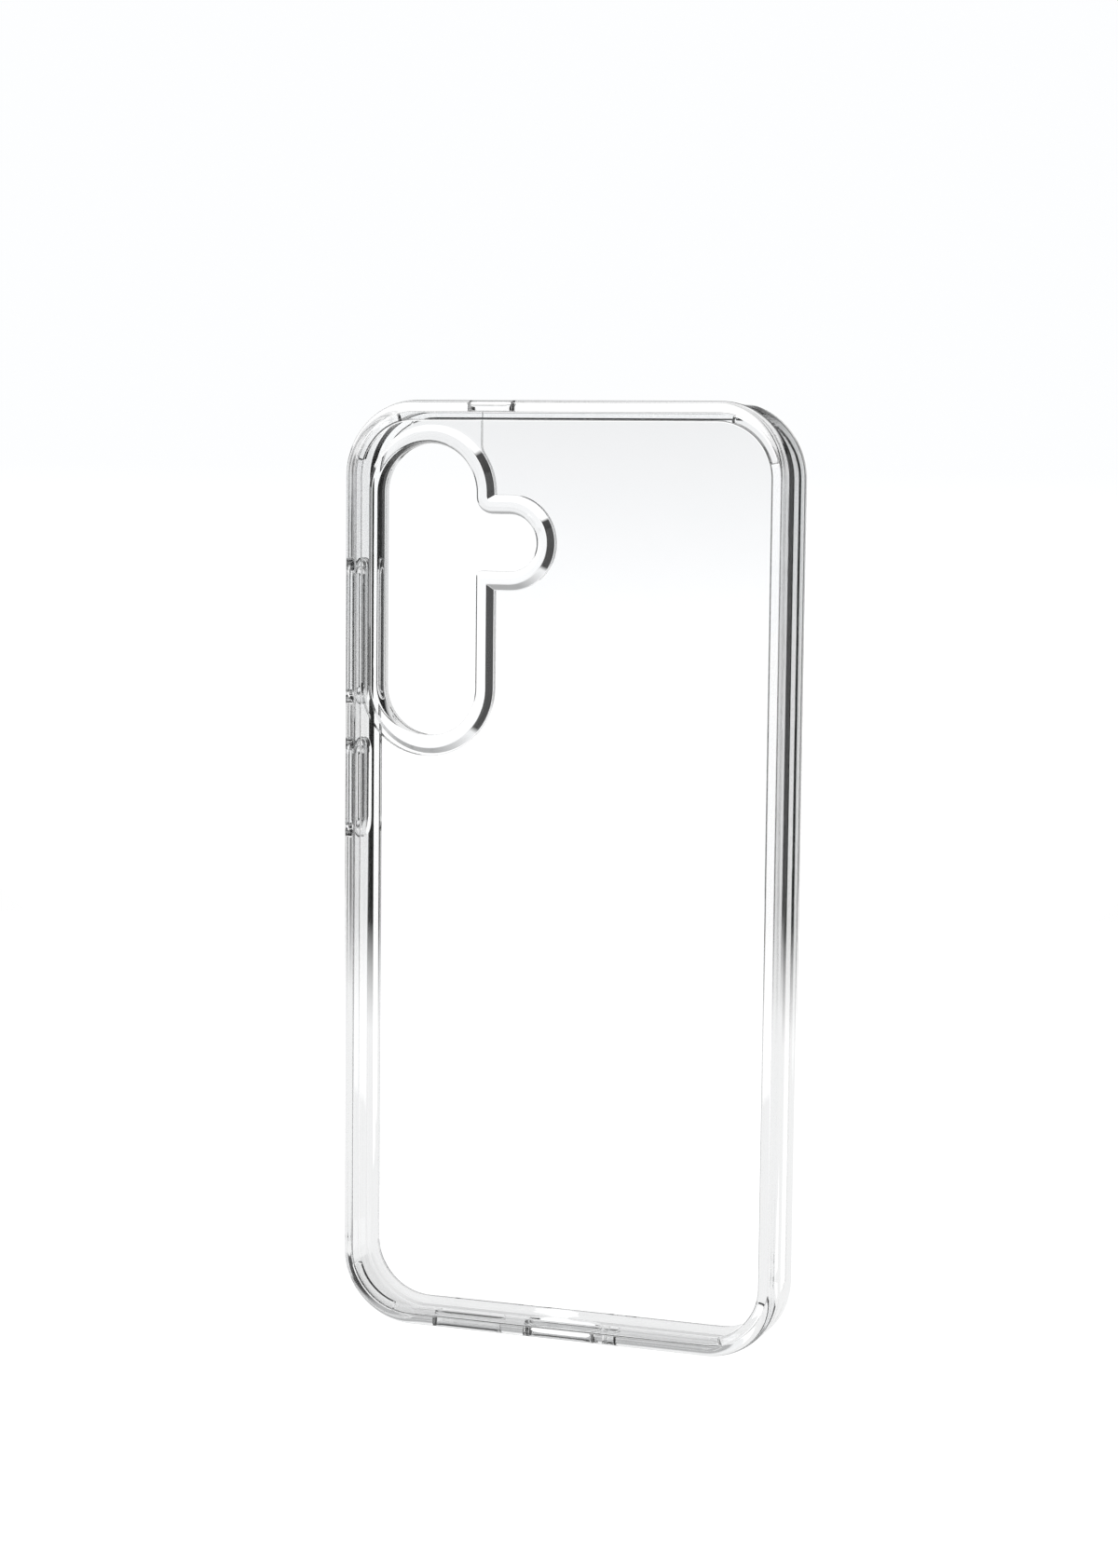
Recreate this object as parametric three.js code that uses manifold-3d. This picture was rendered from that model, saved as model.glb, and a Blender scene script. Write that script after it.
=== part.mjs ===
// Clear protective phone case: a soft bumper frame round a stiff back plate, with a raised
// camera surround, two sprung key covers and a crescent cushion behind each corner.
// Millimetres, +Z up from the bottom edge to the top edge. The back faces -Y, the phone goes
// in from +Y, and the key covers are on -X.

import * as THREE from 'three';
import * as BufferGeometryUtils from 'three/addons/utils/BufferGeometryUtils.js';
import Module from 'manifold-3d';

const wasm = await Module();
wasm.setup();

// ---------------------------------------------------------------- driving dimensions
const phone = { width: 76.7, height: 158.2, depth: 8.2, corner: 11.0 };
const phoneFit = 0.1;                 // clearance all round the phone
const partGap = 0.3;                  // gap between neighbouring mouldings

const wallThickness = 1.9;            // side walls of the bumper
const plateThickness = 1.4;           // stiff back plate
const lipHeight = 1.2;                // front lip above the phone's glass
const lipOverhang = 1.1;              // front lip over the edge of the glass
const flangeThickness = 0.5;          // rear flange that the plate's edge sits behind
const flangeOverlap = 1.5;            // rear flange, measured in from the cavity wall
const backEdgeRadius = 2.0;
const frontEdgeRadius = 1.6;
const lipEdge = 0.3;                  // small rounding of the lip's inner edge

const cameraPill = { fromSide: 8.05, fromTop: 7.4, height: 50.1, radius: 8.45 };  // from the case's edges
const cameraLobe = { reach: 11.0, fromTop: 24.15, radius: 4.85 };   // reach is out of the pill's wall
const neckRadius = { top: 3.0, bottom: 1.0 };
const cameraRim = { width: 2.2, slope: 1.0, rise: 1.2, ledge: 0.1 };
const surroundBase = { extraSide: 0.65, extraFoot: 0.35, topBlend: 2.65 };  // flat base beyond the rim

const keyCover = { height: 3.6, corner: 1.5, rise: 0.8, depth: 1.2, edge: 0.45 };
const volumeCover = { fromTop: 40.2, length: 22.4 };    // to the cover's middle
const powerCover = { fromTop: 67.7, length: 14.4 };
const webWidth = 1.5;                 // flexible groove round a key cover
const webThickness = 0.5;
const webDepth = 0.7;                 // from the side face to the web's outer face

const chargeSlot = { x: 0, length: 13.8, height: 6.0 };
const speakerSlot = { x: -17.5, length: 13.0, height: 2.6 };
const bottomMicHole = { x: 9.1, length: 2.6, height: 2.6 };
const topMicSlot = { x: -14.4, length: 8.6, height: 2.4 };

const cushion = { startAngle: 15, endAngle: 75 };       // crescent pads behind the phone's corners

const arcSegments = 8;
const edgeSegments = 3;
const past = 2.0;                     // how far a cutter runs past what it cuts
const shortestFlat = 0.01;            // least half-length of a straight side between two arcs
const sharpNeck = 0.1;                // least radius of a neck, where the outline has grown over it
const mergeTolerance = 1e-4;

// ---------------------------------------------------------------- derived sizes
const caseWidth = phone.width + 2 * (phoneFit + wallThickness);
const caseHeight = phone.height + 2 * (phoneFit + wallThickness);
const caseDepth = plateThickness + phone.depth + 2 * phoneFit + lipHeight;
const caseCorner = phone.corner + phoneFit + wallThickness;

const backY = -caseDepth / 2;
const frontY = caseDepth / 2;
const seatY = backY + plateThickness;               // the phone's back rests here
const lipY = frontY - lipHeight;                    // underside of the front lip
const flangeY = backY + flangeThickness;
const phoneMidY = (seatY + lipY) / 2;
const leftX = -caseWidth / 2;

const pillX = leftX + cameraPill.fromSide + cameraPill.radius;
const pillTopZ = caseHeight - cameraPill.fromTop - cameraPill.radius;     // centre of its top arc
const pillBottomZ = caseHeight - cameraPill.fromTop - cameraPill.height + cameraPill.radius;
const lobeX = pillX + cameraPill.radius + cameraLobe.reach - cameraLobe.radius;
const lobeZ = caseHeight - cameraLobe.fromTop;

const flangeInset = wallThickness + flangeOverlap;
const lipInset = wallThickness + phoneFit + lipOverhang;
const rimFootWidth = cameraRim.width + cameraRim.slope;
const baseGrow = rimFootWidth + cameraRim.ledge;
const cavityCorner = caseCorner - wallThickness;
const cushionInner = caseCorner - flangeInset;

// ---------------------------------------------------------------- outlines
/** A rectangle with round corners, from two opposite corners. */
function roundedRectangle(x0, y0, x1, y1, radius) {
  const r = Math.min(radius, (x1 - x0) / 2 - shortestFlat, (y1 - y0) / 2 - shortestFlat);
  const shape = new THREE.Shape();
  shape.moveTo(x1, y0 + r);
  shape.lineTo(x1, y1 - r);
  shape.absarc(x1 - r, y1 - r, r, 0, Math.PI / 2, false);
  shape.lineTo(x0 + r, y1);
  shape.absarc(x0 + r, y1 - r, r, Math.PI / 2, Math.PI, false);
  shape.lineTo(x0, y0 + r);
  shape.absarc(x0 + r, y0 + r, r, Math.PI, 1.5 * Math.PI, false);
  shape.lineTo(x1 - r, y0);
  shape.absarc(x1 - r, y0 + r, r, 1.5 * Math.PI, 2 * Math.PI, false);
  return shape;
}

/** The case's outline as seen from behind, moved inwards by an inset. */
function caseOutline(inset) {
  const half = caseWidth / 2 - inset;
  return roundedRectangle(-half, inset, half, caseHeight - inset, caseCorner - inset);
}

/** The right-hand side of the camera outline: up the pill's wall and round the side lobe. */
function traceLobeSide(shape, grow) {
  const lobeR = cameraLobe.radius + grow;
  const wallX = pillX + cameraPill.radius + grow;
  const lobeTop = lobeZ + lobeR;
  const lobeBottom = lobeZ - lobeR;
  const topNeck = Math.max(sharpNeck, Math.min(neckRadius.top - grow, pillTopZ - lobeTop));
  const bottomNeck = Math.max(sharpNeck, Math.min(neckRadius.bottom - grow, lobeBottom - pillBottomZ));
  shape.moveTo(wallX, pillBottomZ);
  shape.lineTo(wallX, lobeBottom - bottomNeck);
  shape.absarc(wallX + bottomNeck, lobeBottom - bottomNeck, bottomNeck, Math.PI, Math.PI / 2, true);
  shape.lineTo(lobeX, lobeBottom);
  shape.absarc(lobeX, lobeZ, lobeR, -Math.PI / 2, Math.PI / 2, false);
  shape.lineTo(wallX + topNeck, lobeTop);
  shape.absarc(wallX + topNeck, lobeTop + topNeck, topNeck, 1.5 * Math.PI, Math.PI, true);
  return Math.max(pillTopZ, lobeTop + topNeck);
}

/** The camera opening's outline, a tall pill with a side lobe, moved outwards by grow. */
function cameraOutline(grow) {
  const r = cameraPill.radius + grow;
  const shape = new THREE.Shape();
  const arcZ = traceLobeSide(shape, grow);
  shape.absarc(pillX, arcZ, r, 0, Math.PI, false);
  shape.absarc(pillX, pillBottomZ, r, Math.PI, 2 * Math.PI, false);
  return shape;
}

/** The surround's base: the same right side, then out to the case's top and left walls. */
function surroundOutline(grow) {
  const r = cameraPill.radius + baseGrow + grow;
  const blendX = r - surroundBase.topBlend;
  const halfWidth = r + surroundBase.extraSide;
  const foot = cameraPill.radius + baseGrow + surroundBase.extraFoot;
  const footZ = pillBottomZ - grow;
  const shape = new THREE.Shape();
  const arcZ = traceLobeSide(shape, baseGrow + grow);
  shape.absarc(pillX, arcZ, r, 0, Math.acos(blendX / r), false);
  shape.lineTo(pillX + blendX, caseHeight + past);
  shape.lineTo(leftX - past, caseHeight + past);
  shape.lineTo(leftX - past, footZ);
  shape.lineTo(pillX + r - 2 * halfWidth, footZ);
  shape.absellipse(pillX + r - halfWidth, footZ, halfWidth, foot, Math.PI, 2 * Math.PI, false);
  return shape;
}

/** A crescent between two radii about the corner's centre, in the first quarter turn. */
function cornerCrescent(inner, outer, startAngle, endAngle) {
  const start = THREE.MathUtils.degToRad(startAngle);
  const end = THREE.MathUtils.degToRad(endAngle);
  const shape = new THREE.Shape();
  shape.absarc(0, 0, outer, start, end, false);
  shape.absarc(0, 0, inner, end, start, true);
  return shape;
}

// ---------------------------------------------------------------- solids and booleans
/** A closed three.js geometry as a solid that can be joined and cut. */
function solid(geometry) {
  const bare = geometry.index ? geometry.toNonIndexed() : geometry;
  bare.deleteAttribute('normal');
  bare.deleteAttribute('uv');
  const merged = BufferGeometryUtils.mergeVertices(bare, mergeTolerance);
  const mesh = new wasm.Mesh({
    numProp: 3,
    vertProperties: new Float32Array(merged.attributes.position.array),
    triVerts: new Uint32Array(merged.index.array),
  });
  return new wasm.Manifold(mesh);
}

/** A solid back as a three.js mesh, with its name and material. */
function pieceMesh(name, body, material) {
  const mesh = body.getMesh();
  const geometry = new THREE.BufferGeometry();
  geometry.setAttribute('position', new THREE.BufferAttribute(mesh.vertProperties, 3));
  geometry.setIndex(new THREE.BufferAttribute(mesh.triVerts, 1));
  geometry.computeVertexNormals();
  const piece = new THREE.Mesh(geometry, material);
  piece.name = name;
  return piece;
}

/** Extrude a shape by a length, its ends rounded by an edge radius that stays inside it. */
function extruded(shape, length, edge = 0, reach = edge) {
  return new THREE.ExtrudeGeometry(shape, {
    depth: length - 2 * reach,
    curveSegments: arcSegments,
    bevelEnabled: edge > 0,
    bevelThickness: reach,
    bevelSize: edge,
    bevelOffset: -edge,
    bevelSegments: edgeSegments,
  }).translate(0, 0, reach);
}

/** A shape drawn as seen from behind (x, z), filled from y = back to y = front. */
function slab(shape, back, front, edge = 0, reach = edge) {
  const geometry = extruded(shape, front - back, edge, reach);
  return solid(geometry.rotateX(Math.PI / 2).translate(0, front, 0));
}

/** A shape drawn on the side wall (y, z), filled from x0 to x1. */
function sideSlab(shape, x0, x1, edge = 0) {
  const turn = new THREE.Matrix4().makeBasis(
    new THREE.Vector3(0, 1, 0), new THREE.Vector3(0, 0, 1), new THREE.Vector3(1, 0, 0));
  return solid(extruded(shape, x1 - x0, edge).applyMatrix4(turn).translate(x0, 0, 0));
}

/** A slot with round ends through the bottom or top wall, centred on the phone's depth. */
function endSlot(slot, z0, z1) {
  const half = slot.height / 2;
  const shape = roundedRectangle(slot.x - slot.length / 2, phoneMidY - half,
    slot.x + slot.length / 2, phoneMidY + half, half);
  return solid(extruded(shape, z1 - z0).translate(0, 0, z0));
}

/** A key cover's outline on the side wall, moved outwards by grow. */
function keyOutline(cover, grow) {
  const halfHeight = keyCover.height / 2 + grow;
  const halfLength = cover.length / 2 + grow;
  const middleZ = caseHeight - cover.fromTop;
  return roundedRectangle(phoneMidY - halfHeight, middleZ - halfLength,
    phoneMidY + halfHeight, middleZ + halfLength, keyCover.corner + grow);
}

/** The four corners: name, side signs, and the turn that carries the first quarter there. */
const corners = [
  { name: 'top_right', x: 1, top: true, turn: 0 },
  { name: 'top_left', x: -1, top: true, turn: 90 },
  { name: 'bottom_left', x: -1, top: false, turn: 180 },
  { name: 'bottom_right', x: 1, top: false, turn: 270 },
];

/** A crescent at a corner of the rear wall, between two radii, its ends moved out by a gap. */
function cornerSolid(corner, inner, outer, back, front, gap) {
  const centreX = corner.x * (caseWidth / 2 - caseCorner);
  const centreZ = corner.top ? caseHeight - caseCorner : caseCorner;
  const spread = THREE.MathUtils.radToDeg(gap / inner);
  const shape = cornerCrescent(inner, outer, cushion.startAngle - spread, cushion.endAngle + spread);
  return solid(extruded(shape, front - back)
    .rotateZ(THREE.MathUtils.degToRad(corner.turn))
    .rotateX(Math.PI / 2)
    .translate(centreX, front, centreZ));
}

// ---------------------------------------------------------------- materials
const clearSoft = new THREE.MeshStandardMaterial({
  color: 0xdfe5e8, roughness: 0.08, metalness: 0, transparent: true, opacity: 0.35,
});
const clearHard = new THREE.MeshStandardMaterial({
  color: 0xeef1f3, roughness: 0.04, metalness: 0, transparent: true, opacity: 0.2,
});
const clearWeb = new THREE.MeshStandardMaterial({
  color: 0xd6dcdf, roughness: 0.15, metalness: 0, transparent: true, opacity: 0.4,
});

// ---------------------------------------------------------------- bumper frame
/** The soft frame: outer block, less the phone's space, both windows, the keys and ports. */
function bumperFrame() {
  const rear = slab(caseOutline(0), backY, frontY + past * 2, backEdgeRadius);
  const front = slab(caseOutline(0), backY - past * 2, frontY, frontEdgeRadius);
  let frame = rear.intersect(front)
    .subtract(slab(caseOutline(wallThickness), flangeY, lipY))
    .subtract(slab(caseOutline(flangeInset), backY - past, flangeY + past))
    .subtract(slab(caseOutline(lipInset), lipY - past, frontY + past));
  const flare = slab(caseOutline(lipInset - lipEdge), frontY - lipEdge, frontY + past, lipEdge);
  frame = frame.subtract(flare);
  for (const cover of [volumeCover, powerCover]) {
    frame = frame.subtract(sideSlab(keyOutline(cover, webWidth), leftX - past, leftX + wallThickness + past));
  }
  for (const slot of [chargeSlot, speakerSlot, bottomMicHole]) {
    frame = frame.subtract(endSlot(slot, -past, wallThickness + past));
  }
  frame = frame.subtract(endSlot(topMicSlot, caseHeight - wallThickness - past, caseHeight + past));
  for (const corner of corners) {
    frame = frame.subtract(cornerSolid(corner, cushionInner - partGap, cavityCorner,
      backY - past, flangeY + past, partGap));
  }
  return frame;
}

// ---------------------------------------------------------------- back plate and surround
/** The whole rear panel: full thickness in the flange's window, a tongue behind the flange. */
function rearPanel() {
  const tongue = slab(caseOutline(wallThickness + partGap), flangeY + partGap, seatY);
  let panel = slab(caseOutline(flangeInset + partGap), backY, seatY).add(tongue);
  for (const corner of corners) {
    panel = panel.subtract(cornerSolid(corner, cushionInner - partGap, cavityCorner,
      backY - past, seatY + past, partGap));
  }
  return panel;
}

/** The stiff plate: the rear panel without the camera surround's corner. */
function backPlate() {
  return rearPanel().subtract(slab(surroundOutline(partGap), backY - past, seatY + past));
}

/** The camera surround: its corner of the panel, the raised rim, less the opening. */
function cameraSurround() {
  const rimRoot = backY + plateThickness / 2;
  const rim = slab(cameraOutline(rimFootWidth), backY - cameraRim.rise, rimRoot + cameraRim.rise,
    cameraRim.slope, cameraRim.rise);
  const raised = rim.intersect(slab(caseOutline(flangeInset + partGap), backY - past, rimRoot));
  return rearPanel().intersect(slab(surroundOutline(0), backY - past, seatY + past))
    .add(raised)
    .subtract(slab(cameraOutline(0), backY - past * 2, seatY + past));
}

// ---------------------------------------------------------------- key covers and webs
/** A key cover: a rounded pad that stands proud of the side and reaches in to the key. */
function coverPad(cover) {
  return sideSlab(keyOutline(cover, 0), leftX - keyCover.rise, leftX + keyCover.depth, keyCover.edge);
}

/** The thin flexible web that closes the groove between a key cover and the wall. */
function coverWeb(cover) {
  const outer = sideSlab(keyOutline(cover, webWidth - partGap), leftX + webDepth,
    leftX + webDepth + webThickness);
  const inner = sideSlab(keyOutline(cover, partGap), leftX, leftX + wallThickness);
  return outer.subtract(inner);
}

// ---------------------------------------------------------------- assembly
const phoneCase = new THREE.Group();
phoneCase.name = 'clear_phone_case';
phoneCase.position.set(keyCover.rise / 2, cameraRim.rise / 2, 0);   // centres the whole box

phoneCase.add(pieceMesh('bumper_frame', bumperFrame(), clearSoft));
phoneCase.add(pieceMesh('back_plate', backPlate(), clearHard));
phoneCase.add(pieceMesh('camera_surround', cameraSurround(), clearSoft));
phoneCase.add(pieceMesh('volume_button', coverPad(volumeCover), clearSoft));
phoneCase.add(pieceMesh('volume_button_web', coverWeb(volumeCover), clearWeb));
phoneCase.add(pieceMesh('power_button', coverPad(powerCover), clearSoft));
phoneCase.add(pieceMesh('power_button_web', coverWeb(powerCover), clearWeb));

for (const corner of corners) {
  const pad = cornerSolid(corner, cushionInner, cavityCorner - partGap, backY, seatY, 0);
  phoneCase.add(pieceMesh(`corner_cushion_${corner.name}`, pad, clearWeb));
}

export default phoneCase;
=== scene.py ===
"""Clear protective phone case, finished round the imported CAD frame.

Each sub-assembly is a class: its sizes are dataclass fields in millimetres, and its methods build
the meshes and dress them. Surfaces are numpy grids: a rounded profile carried round an outline.
"""

import logging
import math
from dataclasses import dataclass
from enum import Enum
from typing import Callable, Sequence

import bpy
import numpy as np
from mathutils import Matrix, Vector


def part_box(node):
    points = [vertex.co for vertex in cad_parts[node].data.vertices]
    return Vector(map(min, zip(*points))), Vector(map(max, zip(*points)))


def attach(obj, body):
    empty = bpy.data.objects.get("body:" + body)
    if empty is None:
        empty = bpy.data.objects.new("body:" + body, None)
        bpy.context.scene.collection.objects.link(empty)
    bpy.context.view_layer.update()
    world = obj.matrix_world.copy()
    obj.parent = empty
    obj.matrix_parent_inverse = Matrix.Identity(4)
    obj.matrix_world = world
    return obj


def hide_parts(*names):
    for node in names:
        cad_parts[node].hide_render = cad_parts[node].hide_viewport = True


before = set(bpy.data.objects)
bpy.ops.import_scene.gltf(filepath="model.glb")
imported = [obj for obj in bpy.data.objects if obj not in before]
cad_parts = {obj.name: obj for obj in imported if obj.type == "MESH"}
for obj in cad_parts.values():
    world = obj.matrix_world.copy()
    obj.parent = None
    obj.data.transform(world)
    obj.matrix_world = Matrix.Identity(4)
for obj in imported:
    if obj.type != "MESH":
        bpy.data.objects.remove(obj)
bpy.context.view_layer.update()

LOG = logging.getLogger("phone_case")
MM = 0.001
SHARP_ANGLE = math.radians(32)
SUPPORT = 0.07          # mm from the end of an arc to the first point on the straight after it
PAST = 2.0              # mm that a cutting block runs past what it cuts
BODY = "case"

END_RADIUS = 0.1        # mm, given to the two ends of an open outline, which stay sharp

Grow = Callable[[float], np.ndarray]    # an outline for an offset
Term = tuple | float                    # a (node, output) pair, or a plain value


# ---------------------------------------------------------------- outlines and profiles
def arc(centre: tuple[float, float], radius: float, start: float, end: float,
        steps: int) -> np.ndarray:
    """Points on a circle: centre plus radius times (cos a, sin a), for even angles a.

    Args:
        centre: middle of the circle.
        radius: its radius.
        start: first angle in degrees.
        end: last angle in degrees.
        steps: number of equal steps.

    Returns:
        steps + 1 points, both ends included.
    """
    angle = np.radians(np.linspace(start, end, steps + 1))
    return np.stack([centre[0] + radius * np.cos(angle),
                     centre[1] + radius * np.sin(angle)], axis=1)


def filleted(corners: Sequence[tuple[float, float]], radii: Sequence[float] | float, steps: int,
             closed: bool = True, straight: int = 2) -> np.ndarray:
    """A polygon whose corners are arcs tangent to their two sides.

    The arc's centre lies on the bisector, at radius / sin(half angle); its points turn evenly from
    one side's tangent point to the other's. The first and last points on a straight side stay
    close to its arcs and keep it flat.

    Args:
        corners: the polygon's corners in order.
        radii: one radius for all corners, or one for each.
        steps: steps in each arc.
        closed: whether the last corner joins the first; if not, both end points stay as they are.
        straight: points on each straight side.

    Returns:
        The points in order.
    """
    points = np.asarray(corners, float)
    to_last = np.roll(points, 1, axis=0) - points
    to_next = np.roll(points, -1, axis=0) - points
    to_last /= np.linalg.norm(to_last, axis=1, keepdims=True)
    to_next /= np.linalg.norm(to_next, axis=1, keepdims=True)
    half = 0.5 * np.arccos(np.clip((to_last * to_next).sum(axis=1), -1, 1))
    size = np.broadcast_to(np.asarray(radii, float), half.shape)
    bisector = to_last + to_next
    bisector /= np.linalg.norm(bisector, axis=1, keepdims=True)
    centre = points + bisector * (size / np.sin(half))[:, None]
    reach = (size / np.tan(half))[:, None]
    first = points + to_last * reach
    last = points + to_next * reach
    turn = (math.pi - 2 * half)[:, None, None]
    share = np.linspace(0, 1, steps + 1)[None, :, None]
    arcs = centre[:, None] + (np.sin((1 - share) * turn) * (first - centre)[:, None]
                              + np.sin(share * turn) * (last - centre)[:, None]) / np.sin(turn)
    side = np.roll(first, -1, axis=0) - last
    length = np.linalg.norm(side, axis=1, keepdims=True)
    step = side / np.maximum(length, 1e-9) * np.minimum(SUPPORT, length / 4)
    along = np.linspace(0, 1, straight)[None, :, None]
    sides = (last + step)[:, None] + (side - 2 * step)[:, None] * along
    blocks = np.concatenate([arcs, sides], axis=1)
    if closed:
        return blocks.reshape(-1, 2)
    inner = blocks[1:-1].reshape(-1, 2)[:-straight]
    return np.concatenate([points[:1], inner, points[-1:]])


def rectangle(x0: float, z0: float, x1: float, z1: float, radius: float, steps: int,
              straight: int = 2) -> np.ndarray:
    """A rectangle with round corners, from its lowest and highest corner, run anticlockwise."""
    return filleted([(x0, z0), (x1, z0), (x1, z1), (x0, z1)], radius, steps, straight=straight)


# ---------------------------------------------------------------- meshes
def piece_from(name: str, points: np.ndarray, faces: list[list[int]]) -> bpy.types.Object:
    """An object made of points in millimetres and faces, turned so that its faces point out.

    The signed volume, a sixth of the sum of a . (b x c) over the fan triangles, tells which way
    the faces point; if it is negative every face is reversed.

    Args:
        name: the object's name.
        points: (n, 3) array in millimetres.
        faces: vertex numbers of each face.

    Returns:
        The linked object.
    """
    fans = np.array([(f[0], f[i], f[i + 1]) for f in faces for i in range(1, len(f) - 1)])
    a, b, c = points[fans[:, 0]], points[fans[:, 1]], points[fans[:, 2]]
    if np.einsum("ij,ij->", a, np.cross(b, c)) < 0:
        faces = [f[::-1] for f in faces]
    mesh = bpy.data.meshes.new(name)
    mesh.from_pydata((points * MM).tolist(), [], faces)
    mesh.update()
    made = bpy.data.objects.new(name, mesh)
    bpy.context.scene.collection.objects.link(made)
    return made


def grid_faces(rows: int, columns: int, wrap_rows: bool) -> list[list[int]]:
    """Quads of a grid whose columns always wrap round.

    Args:
        rows: number of rows.
        columns: number of columns.
        wrap_rows: whether the last row joins the first.

    Returns:
        The four vertex numbers of each quad.
    """
    row = np.arange(rows if wrap_rows else rows - 1)[:, None]
    column = np.arange(columns)[None, :]
    following, beside = (row + 1) % rows, (column + 1) % columns
    quads = np.stack([row * columns + column, row * columns + beside,
                      following * columns + beside, following * columns + column], axis=-1)
    return quads.reshape(-1, 4).tolist()


class Depth(Enum):
    """Which axis an outline's depth runs along; the outline keeps the other two, in order."""

    SIDE = 0
    BACK = 1
    END = 2


def swept(name: str, outline: Grow, profile: np.ndarray, depth: Depth,
          ring: bool = False) -> bpy.types.Object:
    """A profile carried round a closed outline: a stack with flat caps, or a ring.

    Point (u, v) is outline(offset(v)) at u, put at depth(v). A ring closes the profile, as a
    torus does.

    Args:
        name: the object's name.
        outline: gives the outline for an offset, always with as many points.
        profile: (offset, depth) pairs.
        depth: the axis of the depths in the row frame.
        ring: whether the profile closes on itself.

    Returns:
        The object.
    """
    rows = np.stack([np.insert(outline(offset), depth.value, at, axis=1) for offset, at in profile])
    count, columns = rows.shape[0], rows.shape[1]
    faces = grid_faces(count, columns, ring)
    if not ring:
        faces.append(list(range(columns))[::-1])
        faces.append(list(range((count - 1) * columns, count * columns)))
    return piece_from(name, rows.reshape(-1, 3), faces)


def block(outline: np.ndarray, low: float, high: float, depth: Depth) -> bpy.types.Object:
    """A straight block of an outline between two depths, for cutting."""
    return swept("cutter", lambda _: outline, np.array([(0.0, low), (0.0, high)]), depth)


class Cut(Enum):
    """What a boolean does with its second solid."""

    TAKE = "DIFFERENCE"
    KEEP = "INTERSECT"
    JOIN = "UNION"


def combine(piece: bpy.types.Object, other: bpy.types.Object, how: Cut) -> None:
    """Cut, keep or join a piece with another solid.

    Args:
        piece: the object whose mesh is replaced.
        other: the second solid, which is removed.
        how: what the boolean does.
    """
    modifier = piece.modifiers.new("cut", "BOOLEAN")
    modifier.operation = how.value
    modifier.solver = "MANIFOLD"
    modifier.object = other
    graph = bpy.context.evaluated_depsgraph_get()
    made = bpy.data.meshes.new_from_object(piece.evaluated_get(graph))
    piece.modifiers.clear()
    old = piece.data
    piece.data = made
    made.name = piece.name
    bpy.data.meshes.remove(old)
    bpy.data.objects.remove(other)


def finish_piece(piece: bpy.types.Object, material: bpy.types.Material, slot: str, body: str,
                 *nodes: str) -> bpy.types.Object:
    """Shade a piece, dress it, and tie it to its CAD nodes and its body.

    Args:
        piece: the finished mesh object.
        material: its finish.
        slot: not used.
        body: the CAD body that it rides on.
        nodes: the CAD nodes that it stands for.

    Returns:
        The piece.
    """
    piece.data.shade_smooth()
    piece.data.set_sharp_from_angle(angle=SHARP_ANGLE)
    even = piece.modifiers.new("flat faces stay flat", "WEIGHTED_NORMAL")
    even.keep_sharp = True
    piece.data.materials.clear()
    piece.data.materials.append(material)
    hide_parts(*nodes)
    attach(piece, body)
    return piece


# ---------------------------------------------------------------- finishes
HAIRLINE_EDGES = (0.60, 0.66)
HAZE_EDGES = (0.40, 0.75)
HAIRLINE_TURN = (0.3, 0.5, 0.4)
HAIRLINE_STRETCH = (1.0, 1.0, 0.06)
HAZE_TINT = (0.86, 0.89, 0.90, 1.0)
GROOVE = 0.05           # share of the bump's depth that a hairline takes away
MIX_FACTOR, MIX_A, MIX_B, MIX_COLOUR = 0, 6, 7, 2


def moulded_skin() -> bpy.types.NodeTree:
    """The node group for a moulded clear surface: flow waves, haze clouds and fine hairlines.

    Returns:
        A group that turns a position into a tint, a roughness and a bump height.
    """
    group = bpy.data.node_groups.new("moulded_skin", "ShaderNodeTree")
    side = group.interface
    side.new_socket("Position", in_out="INPUT", socket_type="NodeSocketVector")
    for label in ("Flow Scale", "Haze Scale", "Hairline Scale", "Roughness", "Haze", "Hairlines",
                  "Tint Depth"):
        side.new_socket(label, in_out="INPUT", socket_type="NodeSocketFloat")
    side.new_socket("Clear", in_out="INPUT", socket_type="NodeSocketColor")
    side.new_socket("Color", in_out="OUTPUT", socket_type="NodeSocketColor")
    for label in ("Roughness", "Height"):
        side.new_socket(label, in_out="OUTPUT", socket_type="NodeSocketFloat")
    net = Net(group)
    given = net.add("NodeGroupInput")
    place = (given, "Position")
    flow = net.add("ShaderNodeTexNoise", Vector=place, Scale=(given, "Flow Scale"),
                   Detail=2.0, Roughness=0.4)
    haze = net.add("ShaderNodeTexNoise", Vector=place, Scale=(given, "Haze Scale"),
                   Detail=5.0, Roughness=0.6)
    stretch = net.add("ShaderNodeMapping", Vector=place, Rotation=HAIRLINE_TURN,
                      Scale=HAIRLINE_STRETCH)
    lines = net.add("ShaderNodeTexNoise", Vector=(stretch, "Vector"),
                    Scale=(given, "Hairline Scale"), Detail=3.0, Roughness=0.7, Distortion=1.2)
    thin = net.ranged((lines, "Fac"), *HAIRLINE_EDGES)
    cloud = net.ranged((haze, "Fac"), *HAZE_EDGES)
    marks = net.maths("ADD", net.maths("MULTIPLY", cloud, (given, "Haze")),
                      net.maths("MULTIPLY", thin, (given, "Hairlines")))
    rough = net.maths("ADD", marks, (given, "Roughness"))
    tint = net.add("ShaderNodeMix")
    tint.data_type = "RGBA"
    tint.blend_type = "MULTIPLY"
    net.put(tint, MIX_FACTOR, net.maths("MULTIPLY", cloud, (given, "Tint Depth")))
    net.put(tint, MIX_A, (given, "Clear"))
    net.put(tint, MIX_B, HAZE_TINT)
    height = net.maths("SUBTRACT", (flow, "Fac"), net.maths("MULTIPLY", thin, GROOVE))
    net.add("NodeGroupOutput", Color=(tint, MIX_COLOUR), Roughness=rough, Height=height)
    return group


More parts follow.
